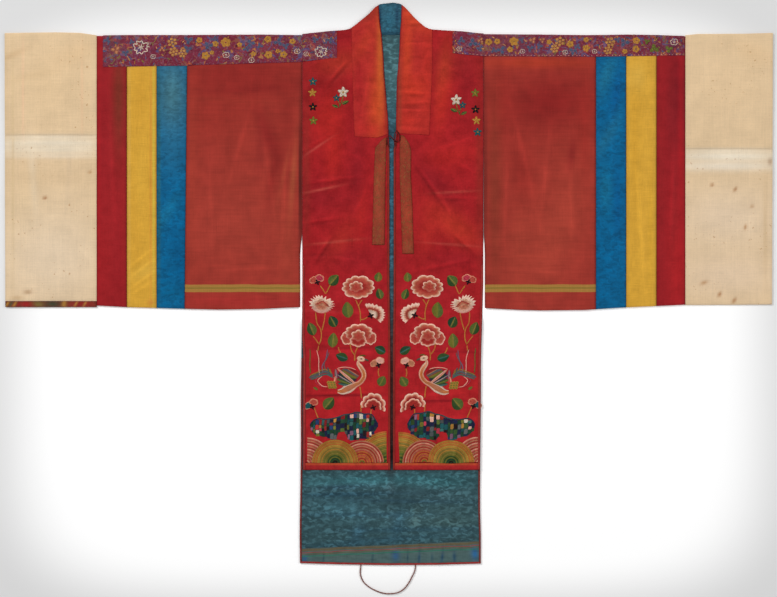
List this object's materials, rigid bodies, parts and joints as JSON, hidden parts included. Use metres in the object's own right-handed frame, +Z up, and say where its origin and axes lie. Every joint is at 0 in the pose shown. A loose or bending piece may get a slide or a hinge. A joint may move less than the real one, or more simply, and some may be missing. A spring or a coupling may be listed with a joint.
{
  "type": "korean hanbok bridal robe",
  "caption": "Wide-sleeved Korean bridal robe laid flat, front up: red silk with striped sleeves, white cuffs, flowered shoulder bands, a teal lining and short ties.",
  "frame": {"origin": "middle of the underside, on the surface that the robe lies on", "axes": "+X across the sleeves to the right as seen from above, +Y towards the neck, +Z up from the surface"},
  "size_m": [1.727, 1.3304, 0.0115],
  "materials": {
    "red_silk": "satin silk with embroidery",
    "back_silk": "plain silk",
    "collar_silk": "faded satin silk",
    "lining_damask": "teal damask with a small figure",
    "neck_damask": "bluer damask",
    "hem_damask": "teal damask with a woven striped selvage",
    "sleeve_gauze": "faded gauze with an olive woven stripe",
    "blue_damask": "blue damask",
    "yellow_silk": "ribbed yellow silk",
    "stripe_silk": "deep red silk",
    "cuff_cotton": "cream plain weave with stains",
    "brocade": "purple flowered brocade",
    "binding": "folded silk binding",
    "tie_damask": "brown-red damask ribbon",
    "stripe_trim": "narrow striped ribbon",
    "loop_cord": "twisted cord"
  },
  "bodies": {
    "root": {"back_panel": "back_silk", "back_lining": "lining_damask", "hem_facing": "hem_damask", "neck_facing": "neck_damask", "collar_back": "collar_silk", "piping_back_left": "binding", "piping_back_right": "binding", "piping_back_hem": "binding", "front_left": "red_silk", "front_right": "red_silk", "hem_band_left": "binding", "hem_band_right": "binding", "piping_centre_left": "binding", "piping_centre_right": "binding", "piping_side_left": "binding", "piping_side_right": "binding", "collar_left": "collar_silk", "collar_right": "collar_silk", "tie_left": "tie_damask", "tie_right": "tie_damask", "tie_loop": "loop_cord", "hem_loop": "loop_cord", "band_left_body": "brocade", "band_left_inner": "brocade", "band_left_outer": "brocade", "band_right_body": "brocade", "band_right_inner": "brocade", "band_right_outer": "brocade", "sleeve_left_inner_front": "sleeve_gauze", "sleeve_left_inner_back": "sleeve_gauze", "sleeve_left_blue_front": "blue_damask", "sleeve_left_blue_back": "blue_damask", "sleeve_left_yellow_front": "yellow_silk", "sleeve_left_yellow_back": "yellow_silk", "sleeve_left_red_front": "stripe_silk", "sleeve_left_red_back": "stripe_silk", "sleeve_right_inner_front": "sleeve_gauze", "sleeve_right_inner_back": "sleeve_gauze", "sleeve_right_blue_front": "blue_damask", "sleeve_right_blue_back": "blue_damask", "sleeve_right_yellow_front": "yellow_silk", "sleeve_right_yellow_back": "yellow_silk", "sleeve_right_red_front": "stripe_silk", "sleeve_right_red_back": "stripe_silk", "cuff_left_upper_front": "cuff_cotton", "cuff_left_upper_back": "cuff_cotton", "cuff_left_lower_front": "cuff_cotton", "cuff_left_lower_back": "cuff_cotton", "cuff_left_trim_front": "stripe_trim", "cuff_left_trim_back": "stripe_trim", "cuff_right_upper_front": "cuff_cotton", "cuff_right_upper_back": "cuff_cotton", "cuff_right_lower_front": "cuff_cotton", "cuff_right_lower_back": "cuff_cotton"}
  },
  "joints": []
}
